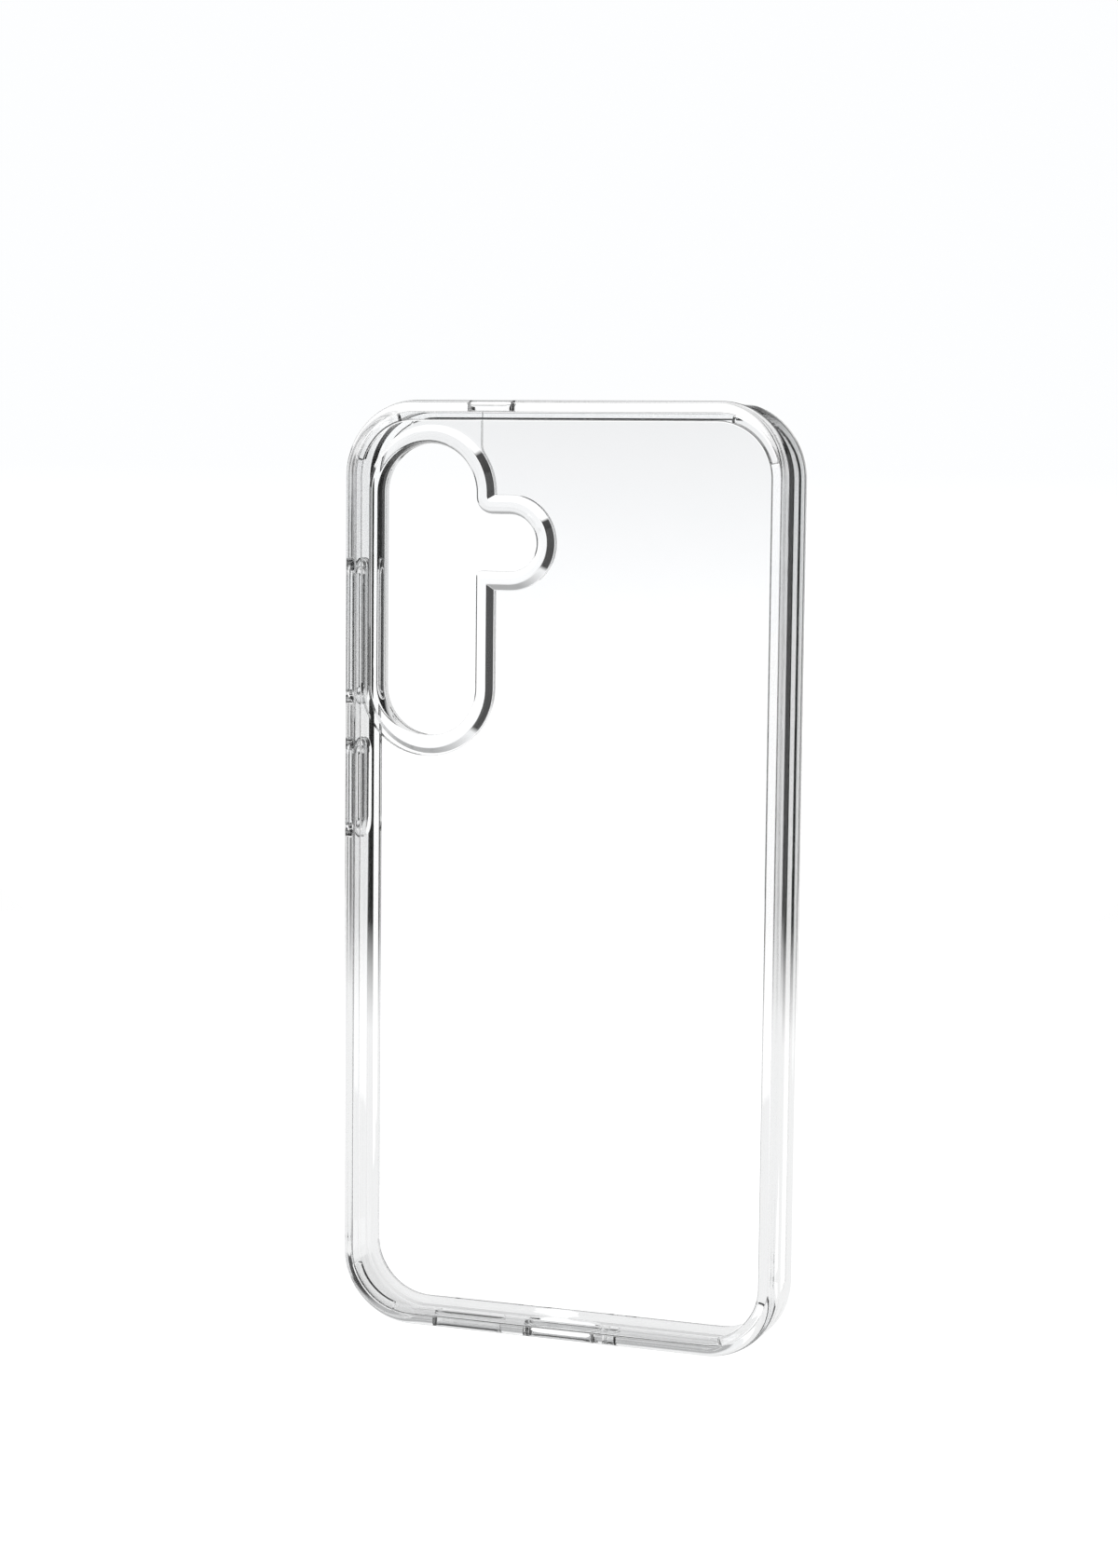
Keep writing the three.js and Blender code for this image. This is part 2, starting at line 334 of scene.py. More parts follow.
class Net:
    """A node tree with short ways to add, set and join its nodes."""

    def __init__(self, tree: bpy.types.NodeTree) -> None:
        """Take the tree and clear it."""
        self.tree = tree
        self.tree.nodes.clear()

    def put(self, node: bpy.types.Node, entry: str | int, term: Term) -> None:
        """Set or link one input.

        Args:
            node: the node.
            entry: the input's name or number.
            term: what it gets.
        """
        if isinstance(term, tuple) and isinstance(term[0], bpy.types.Node):
            self.tree.links.new(term[0].outputs[term[1]], node.inputs[entry])
        else:
            node.inputs[entry].default_value = term

    def add(self, kind: str, tree: bpy.types.NodeTree | None = None,
            **terms: Term) -> bpy.types.Node:
        """Add a node, and set or link its inputs.

        Args:
            kind: the node's type name.
            tree: the group that a group node holds.
            **terms: what its inputs get, by name.

        Returns:
            The node.
        """
        node = self.tree.nodes.new(kind)
        if tree:
            node.node_tree = tree
        for label, term in terms.items():
            self.put(node, label, term)
        return node

    def ranged(self, term: Term, low: float, high: float, start: float = 0.0,
               end: float = 1.0) -> Term:
        """A ramp from start to end as a term goes from low to high, and level past both.

        Args:
            term: what drives it.
            low: where the ramp begins.
            high: where it ends.
            start: its result at low.
            end: its result at high.

        Returns:
            The (node, output) with the result.
        """
        made = self.add("ShaderNodeMapRange", **{
            "Value": term, "From Min": low, "From Max": high, "To Min": start, "To Max": end})
        return made, "Result"

    def worked(self, kind: str, operation: str, terms: Sequence[Term]) -> bpy.types.Node:
        """A node with an operation.

        Args:
            kind: the node's type name.
            operation: what it does.
            terms: what its inputs get, in order.

        Returns:
            The node.
        """
        node = self.add(kind)
        node.operation = operation
        for index, term in enumerate(terms):
            self.put(node, index, term)
        return node

    def maths(self, operation: str, *terms: Term) -> Term:
        """The (node, output) of a maths node."""
        return self.worked("ShaderNodeMath", operation, terms), "Value"

    def vectors(self, operation: str, *terms: Term) -> Term:
        """The (node, output) of a vector maths node."""
        output = "Value" if operation in ("DOT_PRODUCT", "LENGTH") else "Vector"
        return self.worked("ShaderNodeVectorMath", operation, terms), output


@dataclass(frozen=True)
class ClearFinish:
    """A clear moulding: its glass, and the marks of its mould and of handling.

    Scales are in waves per metre, and bump_depth is in metres.
    """

    name: str
    roughness: float
    haze: float
    hairlines: float
    tint_depth: float
    flow_scale: float
    haze_scale: float
    hairline_scale: float
    clear: tuple[float, float, float, float] = (0.990, 0.992, 0.993, 1.0)
    ior: float = 1.49
    bump_depth: float = 0.000006

    def material(self, skin: bpy.types.NodeTree) -> bpy.types.Material:
        """Build the material.

        Args:
            skin: the shared moulded surface group.

        Returns:
            The material.
        """
        made = bpy.data.materials.new(self.name)
        made.use_nodes = True
        net = Net(made.node_tree)
        where = net.add("ShaderNodeTexCoord")
        surface = net.add("ShaderNodeGroup", skin, **{
            "Position": (where, "Object"), "Flow Scale": self.flow_scale,
            "Haze Scale": self.haze_scale, "Hairline Scale": self.hairline_scale,
            "Roughness": self.roughness, "Haze": self.haze, "Hairlines": self.hairlines,
            "Tint Depth": self.tint_depth, "Clear": self.clear})
        bump = net.add("ShaderNodeBump", Strength=1.0, Distance=self.bump_depth,
                       Height=(surface, "Height"))
        shader = net.add("ShaderNodeBsdfPrincipled", **{
            "IOR": self.ior, "Metallic": 0.0, "Transmission Weight": 1.0,
            "Base Color": (surface, "Color"), "Roughness": (surface, "Roughness"),
            "Normal": (bump, "Normal")})
        net.add("ShaderNodeOutputMaterial", Surface=(shader, "BSDF"))
        return made


SOFT_CLEAR = ClearFinish(
    name="soft_clear_moulding", roughness=0.012, haze=0.03, hairlines=0.05, tint_depth=0.10,
    flow_scale=90.0, haze_scale=320.0, hairline_scale=900.0)
HARD_CLEAR = ClearFinish(
    name="hard_clear_sheet", roughness=0.004, haze=0.012, hairlines=0.05, tint_depth=0.05,
    flow_scale=35.0, haze_scale=140.0, hairline_scale=700.0, clear=(0.992, 0.994, 0.996, 1.0),
    ior=1.50, bump_depth=0.000003)
WEB_CLEAR = ClearFinish(
    name="thin_clear_web", roughness=0.03, haze=0.06, hairlines=0.04, tint_depth=0.16,
    flow_scale=160.0, haze_scale=600.0, hairline_scale=1300.0, clear=(0.985, 0.988, 0.990, 1.0))
CUSHION_CLEAR = ClearFinish(
    name="cushion_clear", roughness=0.02, haze=0.04, hairlines=0.04, tint_depth=0.12,
    flow_scale=140.0, haze_scale=420.0, hairline_scale=1000.0)


# ---------------------------------------------------------------- shared sizes
@dataclass(frozen=True)
class Shell:
    """The case's walls, in millimetres in the row frame."""

    left: float
    right: float
    back: float
    front: float
    bottom: float
    top: float
    corner: float = 13.0
    wall: float = 1.9
    plate: float = 1.4
    lip_height: float = 1.2
    lip_inset: float = 3.1
    flange_inset: float = 3.4
    flange: float = 0.5
    seam: float = 0.04
    bond: float = 0.02
    steps: int = 28

    @classmethod
    def from_frame(cls) -> "Shell":
        """Take the outer faces from the CAD frame."""
        low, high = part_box("bumper_frame")
        return cls(low.x / MM, high.x / MM, low.y / MM, high.y / MM, low.z / MM, high.z / MM)

    @property
    def seat(self) -> float:
        """Depth of the face that the phone's back rests on."""
        return self.back + self.plate

    @property
    def lip(self) -> float:
        """Depth of the underside of the front lip."""
        return self.front - self.lip_height

    @property
    def phone_middle(self) -> float:
        """Depth of the middle of the phone's side."""
        return (self.seat + self.lip) / 2

    @property
    def middle(self) -> float:
        """Middle of the case's width."""
        return (self.left + self.right) / 2

    def outline(self, inset: float) -> np.ndarray:
        """The case's outline in (x, z), moved in by an inset; its corners keep their centres."""
        return rectangle(self.left + inset, self.bottom + inset, self.right - inset,
                         self.top - inset, self.corner - inset, self.steps)

    def corner_centre(self, x_sign: int, z_sign: int) -> tuple[float, float]:
        """Middle of a corner's arcs.

        Args:
            x_sign: 1 for the right side, -1 for the left.
            z_sign: 1 for the top, -1 for the bottom.

        Returns:
            Its (x, z).
        """
        x = self.middle + x_sign * ((self.right - self.left) / 2 - self.corner)
        z = self.top - self.corner if z_sign > 0 else self.bottom + self.corner
        return x, z


@dataclass(frozen=True)
class CameraOpening:
    """The camera opening's outline: a tall pill with a side lobe, in millimetres."""

    shell: Shell
    from_side: float = 8.05
    from_top: float = 7.4
    height: float = 50.1
    radius: float = 8.45
    lobe_reach: float = 11.0
    lobe_from_top: float = 24.15
    lobe_radius: float = 4.85
    top_neck: float = 3.0
    bottom_neck: float = 1.0
    least_neck: float = 0.1
    least_wall: float = 0.005
    wall_steps: int = 8
    low_neck_steps: int = 12
    high_neck_steps: int = 16
    lobe_steps: int = 40
    pill_steps: int = 56

    @property
    def pill_x(self) -> float:
        """The pill's middle line."""
        return self.shell.left + self.from_side + self.radius

    @property
    def top_centre(self) -> float:
        """Height of the middle of the pill's top arc."""
        return self.shell.top - self.from_top - self.radius

    @property
    def bottom_centre(self) -> float:
        """Height of the middle of the pill's bottom arc."""
        return self.shell.top - self.from_top - self.height + self.radius

    @property
    def lobe_centre(self) -> tuple[float, float]:
        """Middle of the lobe."""
        x = self.pill_x + self.radius + self.lobe_reach - self.lobe_radius
        return x, self.shell.top - self.lobe_from_top

    def lobe_side(self, grow: float) -> np.ndarray:
        """The right-hand side from the pill's wall, round the lobe, back to the wall.

        Straight walls joined by the lobe's half circle and two hollow neck arcs, whose radii
        shrink as the outline grows.

        Args:
            grow: how far the outline is moved out.

        Returns:
            (n, 2) points from the foot of the wall to its head.
        """
        lobe_x, lobe_z = self.lobe_centre
        size = self.lobe_radius + grow
        wall = self.pill_x + self.radius + grow
        lobe_top, lobe_bottom = lobe_z + size, lobe_z - size
        top = max(self.least_neck, min(self.top_neck - grow, self.top_centre - lobe_top))
        below = lobe_bottom - self.bottom_centre
        bottom = max(self.least_neck, min(self.bottom_neck - grow, below))
        wall_foot = np.linspace((wall, self.bottom_centre), (wall, lobe_bottom - bottom),
                                self.wall_steps + 1)[:-1]
        low_neck = arc((wall + bottom, lobe_bottom - bottom), bottom, 180, 90, self.low_neck_steps)
        lobe = arc((lobe_x, lobe_z), size, -90, 90, self.lobe_steps)
        high_neck = arc((wall + top, lobe_top + top), top, 270, 180, self.high_neck_steps)
        return np.concatenate([wall_foot, low_neck, lobe, high_neck])

    def head(self, side: np.ndarray) -> float:
        """Height of the middle of the top arc over a right-hand side, a little above its end."""
        return max(self.top_centre, side[-1, 1] + self.least_wall)

    def outline(self, grow: float) -> np.ndarray:
        """The whole opening, run anticlockwise.

        Args:
            grow: how far the outline is moved out.

        Returns:
            (n, 2) points.
        """
        side = self.lobe_side(grow)
        size = self.radius + grow
        over = arc((self.pill_x, self.head(side)), size, 0, 180, self.pill_steps)
        under = arc((self.pill_x, self.bottom_centre), size, 180, 360, self.pill_steps)[:-1]
        return np.concatenate([side, over, under])


# ---------------------------------------------------------------- cushions
@dataclass(frozen=True)
class Cushion:
    """A crescent pad behind one corner of the phone."""

    name: str
    shell: Shell
    x_sign: int
    z_sign: int
    inner: float = 9.6
    outer: float = 11.06
    start: float = 15.0
    end: float = 75.0
    edge: float = 0.3
    skirt: float = 0.42
    corner: float = 0.45
    corner_steps: int = 8
    side_points: int = 24

    def outline(self, grow: float) -> np.ndarray:
        """The crescent in (x, z), moved out by grow.

        A rectangle with round corners is bent round the corner's centre: its length becomes the
        angle, at the crescent's middle radius, and its width becomes the radius.

        Args:
            grow: how far it is moved out.

        Returns:
            The points in order.
        """
        centre_x, centre_z = self.shell.corner_centre(self.x_sign, self.z_sign)
        middle = (self.inner + self.outer) / 2
        start, end = math.radians(self.start) * middle, math.radians(self.end) * middle
        flat = rectangle(start - grow, self.inner - grow, end + grow, self.outer + grow,
                         self.corner + grow, self.corner_steps, straight=self.side_points)
        angle = flat[:, 0] / middle
        return np.stack([centre_x + self.x_sign * flat[:, 1] * np.cos(angle),
                         centre_z + self.z_sign * flat[:, 1] * np.sin(angle)], axis=1)

    def notch(self) -> bpy.types.Object:
        """A block that clears the cushion's place in the flange and the plate."""
        s = self.shell
        return block(self.outline(s.seam), s.back - PAST, s.seat + s.seam, Depth.BACK)

    def build(self, material: bpy.types.Material) -> bpy.types.Object:
        """The crescent with its edges rounded at both faces.

        Args:
            material: the cushion's finish.

        Returns:
            The piece.
        """
        s = self.shell
        rows = filleted(
            [(-self.skirt, s.back), (0.0, s.back), (0.0, s.seat), (-self.skirt, s.seat)],
            [END_RADIUS, self.edge, self.edge, END_RADIUS], self.corner_steps, closed=False)
        piece = swept(f"cushion_{self.name}", self.outline, rows, Depth.BACK)
        return finish_piece(piece, material, "cushion_clear", BODY, f"corner_cushion_{self.name}")


# ---------------------------------------------------------------- bumper
@dataclass(frozen=True)
class PortSlot:
    """A slot with round ends through the bottom or top wall, in millimetres."""

    x: float
    length: float
    height: float
    at_top: bool = False


@dataclass(frozen=True)
class KeyWindow:
    """Where a key cover sits on the left wall, in millimetres."""

    from_top: float
    length: float
    height: float = 3.6
    corner: float = 1.5
    corner_steps: int = 12
    web: float = 1.5


VOLUME_WINDOW = KeyWindow(from_top=40.2, length=22.4)
POWER_WINDOW = KeyWindow(from_top=67.7, length=14.4)
PORTS = (
    PortSlot(x=0.0, length=13.8, height=6.0),
    PortSlot(x=-17.5, length=13.0, height=2.6),
    PortSlot(x=9.1, length=2.6, height=2.6),
    PortSlot(x=-14.4, length=8.6, height=2.4, at_top=True),
)


def key_outline(shell: Shell, window: KeyWindow, grow: float) -> np.ndarray:
    """A key cover's outline in (y, z).

    Args:
        shell: the case's walls.
        window: the cover's place and size.
        grow: how far the outline is moved out.

    Returns:
        (n, 2) points.
    """
    half_height = window.height / 2 + grow
    half_length = window.length / 2 + grow
    z = shell.top - window.from_top
    return rectangle(shell.phone_middle - half_height, z - half_length,
                     shell.phone_middle + half_height, z + half_length, window.corner + grow,
                     window.corner_steps)


def flared(mouth: float, inner: float, flare: float, steps: int = 6) -> np.ndarray:
    """(offset, depth) rows of a cutting block whose two mouths open in quarter rounds.

    At a share w of the quarter turn the offset is flare (1 - sin w) and the depth is
    flare (1 - cos w) in from the mouth.

    Args:
        mouth: depth of the outer face that it opens through.
        inner: depth of the inner face.
        flare: radius of the quarter rounds.
        steps: steps in each quarter round.

    Returns:
        The rows, from outside the mouth inwards.
    """
    way = math.copysign(1.0, inner - mouth)
    turn = np.linspace(0, math.pi / 2, steps + 1)
    offset, depth = flare * (1 - np.sin(turn)), flare * (1 - np.cos(turn))
    rows = [(flare, mouth - way * PAST)]
    rows += list(zip(offset, mouth + way * depth))
    rows += list(zip(offset[::-1], inner - way * depth[::-1]))
    rows.append((flare, inner + way * PAST))
    return np.array(rows)


@dataclass(frozen=True)
class Bumper:
    """The soft frame: side walls, rear flange, front lip, key windows, port slots."""

    shell: Shell
    back_radius: float = 1.6
    flange_edge: float = 0.12
    flange_root: float = 0.15
    lip_root: float = 0.25
    lip_underside: float = 0.2
    lip_edge: float = 0.4
    front_radius: float = 2.2
    profile_steps: int = 9
    flare: float = 0.25
    slot_steps: int = 14
    slot_round: float = 0.98

    def profile(self) -> np.ndarray:
        """The wall's section: outer wall, flange, cavity wall and front lip.

        Returns:
            (inset, y) points.
        """
        s = self.shell
        flange = s.back + s.flange
        corners = [
            (0.0, s.back), (s.flange_inset, s.back), (s.flange_inset, flange), (s.wall, flange),
            (s.wall, s.lip), (s.lip_inset, s.lip), (s.lip_inset, s.front), (0.0, s.front),
        ]
        radii = [self.back_radius, self.flange_edge, self.flange_edge, self.flange_root,
                 self.lip_root, self.lip_underside, self.lip_edge, self.front_radius]
        return filleted(corners, radii, self.profile_steps)

    def build(self, material: bpy.types.Material, cushions: Sequence[Cushion]) -> bpy.types.Object:
        """Sweep the section round the case and cut the windows, slots and cushion notches.

        Args:
            material: the soft finish.
            cushions: the corner cushions, which need room in the flange.

        Returns:
            The piece.
        """
        s = self.shell
        piece = swept("bumper", s.outline, self.profile(), Depth.BACK, ring=True)
        for cushion in cushions:
            combine(piece, cushion.notch(), Cut.TAKE)
        for window in (VOLUME_WINDOW, POWER_WINDOW):
            rows = flared(s.left, s.left + s.wall, self.flare)
            combine(piece, swept("cutter", self.window_outline(window), rows, Depth.SIDE), Cut.TAKE)
        for slot in PORTS:
            mouth = s.top if slot.at_top else s.bottom
            inner = mouth - s.wall if slot.at_top else mouth + s.wall
            rows = flared(mouth, inner, self.flare)
            combine(piece, swept("cutter", self.slot_outline(slot), rows, Depth.END), Cut.TAKE)
        return finish_piece(piece, material, "soft_clear", BODY, "bumper_frame")

    def window_outline(self, window: KeyWindow) -> Grow:
        """The window's outline for an extra offset."""
        return lambda grow: key_outline(self.shell, window, window.web + grow)

    def slot_outline(self, slot: PortSlot) -> Grow:
        """A slot's outline in (x, y) for an extra offset; its round ends leave a short straight.

        Args:
            slot: the slot.

        Returns:
            A function from the offset to the outline.
        """
        x = self.shell.middle + slot.x
        y = self.shell.phone_middle
        half_length, half_height = slot.length / 2, slot.height / 2
        return lambda grow: rectangle(
            x - half_length - grow, y - half_height - grow, x + half_length + grow,
            y + half_height + grow, (half_height + grow) * self.slot_round, self.slot_steps)


# ---------------------------------------------------------------- plate and surround
@dataclass(frozen=True)
class RearPanel:
    """What the stiff plate and the camera surround are both cut from."""

    shell: Shell
    opening: CameraOpening
    rim_foot: float = 3.2
    ledge: float = 0.1
    extra_side: float = 0.65
    extra_foot: float = 0.35
    top_blend: float = 2.65
    blend_radius: float = 3.0
    over_steps: int = 20
    turn_steps: int = 12
    core: float = 1.0
    back_edge: float = 0.15
    tongue_root: float = 0.1
    tongue_edge: float = 0.12
    seat_edge: float = 0.2
    edge_steps: int = 6

    def blank(self, name: str, cushions: Sequence[Cushion]) -> bpy.types.Object:
        """The whole panel: full thickness in the flange's window, a tongue behind the flange.

        Args:
            name: the object's name.
            cushions: the corner cushions, whose places are cut out of the tongue.

        Returns:
            The panel.
        """
        s = self.shell
        window = s.flange_inset + s.seam
        edge = s.wall + s.seam
        tongue = s.back + s.flange + s.seam
        middle = s.corner - self.core
        corners = [(middle, s.back), (window, s.back), (window, tongue), (edge, tongue),
                   (edge, s.seat), (middle, s.seat)]
        radii = [END_RADIUS, self.back_edge, self.tongue_root, self.tongue_edge, self.seat_edge,
                 END_RADIUS]
        rows = filleted(corners, radii, self.edge_steps, closed=False)
        piece = swept(name, s.outline, rows, Depth.BACK)
        for cushion in cushions:
            combine(piece, cushion.notch(), Cut.TAKE)
        return piece

    def surround_outline(self, grow: float) -> np.ndarray:
        """The surround's base in (x, z), moved out by grow.

        The opening's right side, an arc round the pill's head that a hollow arc turns up to the
        top wall, then outside the case, and half an ellipse under the pill.

        Args:
            grow: how far it is moved out.

        Returns:
            The points, run anticlockwise.
        """
        o, s = self.opening, self.shell
        foot_grow = self.rim_foot + self.ledge
        size = o.radius + foot_grow + grow
        side = o.lobe_side(foot_grow + grow)
        head = o.head(side)
        line = size - self.top_blend
        hollow = self.blend_radius
        rise = math.sqrt((size + hollow) ** 2 - (line + hollow) ** 2)
        meet = math.degrees(math.atan2(rise, line + hollow))
        over = arc((o.pill_x, head), size, 0, meet, self.over_steps)
        turn = arc((o.pill_x + line + hollow, head + rise), hollow, meet + 180, 180,
                   self.turn_steps)[1:]
        half = size + self.extra_side
        below = o.radius + foot_grow + self.extra_foot
        foot_z = o.bottom_centre - grow
        beyond = s.left - PAST
        outside = np.array([(o.pill_x + line, s.top + PAST), (beyond, s.top + PAST),
                            (beyond, foot_z)])
        angle = np.radians(np.linspace(180, 360, o.pill_steps + 1))[:-1]
        centre = o.pill_x + size - half
        under = np.stack([centre + half * np.cos(angle), foot_z + below * np.sin(angle)], axis=1)
        return np.concatenate([side, over, turn, outside, under])


@dataclass(frozen=True)
class BackPlate:
    """The stiff clear sheet."""

    panel: RearPanel

    def build(self, material: bpy.types.Material, cushions: Sequence[Cushion]) -> bpy.types.Object:
        """Cut the surround's corner and the cushions' notches out of the panel.

        Args:
            material: the hard finish.
            cushions: the corner cushions, which need room in the tongue.

        Returns:
            The piece.
        """
        s = self.panel.shell
        piece = self.panel.blank("plate", cushions)
        corner = self.panel.surround_outline(-s.bond)
        combine(piece, block(corner, s.back - PAST, s.seat + PAST, Depth.BACK), Cut.TAKE)
        return finish_piece(piece, material, "hard_clear", BODY, "back_plate")


@dataclass(frozen=True)
class CameraSurround:
    """The base round the camera opening and its raised, rounded rim."""

    panel: RearPanel
    inner_radius: float = 1.2
    top_width: float = 2.2
    rise: float = 1.2
    top_edge: float = 0.25
    foot_edge: float = 0.04
    seat_edge: float = 0.12
    profile_steps: int = 12
    merge: float = 1.0

    def rim_profile(self) -> np.ndarray:
        """The rim's section: hole wall, big inner round, narrow top and outer slope.

        Returns:
            (offset, y) points.
        """
        s = self.panel.shell
        face = s.back - self.rise
        foot = self.panel.rim_foot
        return filleted(
            [(0.0, face), (self.top_width, face), (foot, s.back), (foot, s.seat), (0.0, s.seat)],
            [self.inner_radius, self.top_edge, self.foot_edge, self.foot_edge, self.seat_edge],
            self.profile_steps)

    def build(self, material: bpy.types.Material, cushions: Sequence[Cushion]) -> bpy.types.Object:
        """Keep the surround's part of the panel, open it, and join the rim.

        Args:
            material: the soft finish.
            cushions: the corner cushions, which need room in the tongue.

        Returns:
            The piece.
        """
        s, o = self.panel.shell, self.panel.opening
        piece = self.panel.blank("surround", cushions)
        low, high = s.back - PAST, s.seat + PAST
        combine(piece, block(self.panel.surround_outline(0.0), low, high, Depth.BACK), Cut.KEEP)
        combine(piece, block(o.outline(self.merge), low, high, Depth.BACK), Cut.TAKE)
        rim = swept("rim", o.outline, self.rim_profile(), Depth.BACK, ring=True)
        combine(piece, rim, Cut.JOIN)
        return finish_piece(piece, material, "soft_clear", BODY, "camera_surround")


# ---------------------------------------------------------------- key covers and webs
@dataclass(frozen=True)
class KeyCover:
    """A pressed key cover and the web in the groove round it."""

    name: str
    shell: Shell
    window: KeyWindow
    body: str
    rise: float = 0.8
    depth: float = 1.2
    edge: float = 0.5
    inner_edge: float = 0.2
    foot: float = 1.1
    edge_steps: int = 8
    crown: float = 0.1
    crown_start: float = 1.0
    crown_rows: int = 8
    core: float = 0.06
    gap: float = 0.08
    floor: float = 0.75
    floor_back: float = 1.2
    free_edge: float = 0.12
    bonded_edge: float = 0.02
    web_steps: int = 6

    def outline(self, grow: float) -> np.ndarray:
        """The cover's outline moved out by grow."""
        return key_outline(self.shell, self.window, grow)

    def build_pad(self, material: bpy.types.Material) -> bpy.types.Object:
        """A pad with a rounded edge and a crowned top.

        The crown rises by crown (1 - w^2), where w falls from 1 at the edge's round to 0 at the
        middle line.

        Args:
            material: the soft finish.

        Returns:
            The piece.
        """
        s = self.shell
        face = s.left - self.rise + self.crown
        inner = s.left + self.depth
        start = self.crown_start
        body = filleted([(-self.foot, inner), (0.0, inner), (0.0, face), (-start, face)],
                        [END_RADIUS, self.inner_edge, self.edge, END_RADIUS], self.edge_steps,
                        closed=False)
        reach = self.window.corner - self.core
        share = np.linspace(1, 0, self.crown_rows)
        crown = np.stack([-(start + (reach - start) * (1 - share)),
                          face - self.crown * (1 - share ** 2)], axis=1)
        rows = np.concatenate([body, crown[1:]])
        piece = swept(f"{self.name}_cover", self.outline, rows, Depth.SIDE)
        return finish_piece(piece, material, "soft_clear", self.body, f"{self.name}_button")

    def build_web(self, material: bpy.types.Material) -> bpy.types.Object:
        """A thin skin across the floor of the groove, bonded to the window's wall.

        Args:
            material: the web's finish.

        Returns:
            The piece.
        """
        s = self.shell
        near, far = self.gap, self.window.web + s.bond
        floor, under = s.left + self.floor, s.left + self.floor_back
        profile = filleted([(near, floor), (far, floor), (far, under), (near, under)],
                           [self.free_edge, self.bonded_edge, self.bonded_edge, self.free_edge],
                           self.web_steps)
        piece = swept(f"{self.name}_web", self.outline, profile, Depth.SIDE, ring=True)
        return finish_piece(piece, material, "web_clear", BODY, f"{self.name}_button_web")


# ---------------------------------------------------------------- studio
@dataclass(frozen=True)
class Panel:
    """An upright panel round the case: white if its level is positive, a black card if negative.

    Angles are in degrees: bearing is from the camera's own heading, anticlockwise from above.
    """

    bearing: float
    half_width: float
    top: float
    level: float


@dataclass(frozen=True)
class Room:
    """What one kind of light finds round the case.

    ceiling holds two angles in degrees, between which the walls turn into the ceiling, and its
    level. table holds two distances in metres, between which the table's painted pool of light
    fades, and its level.
    """

    walls: float
    ceiling: tuple[float, float, float]
    table: tuple[float, float, float]
    panels: tuple[Panel, ...]


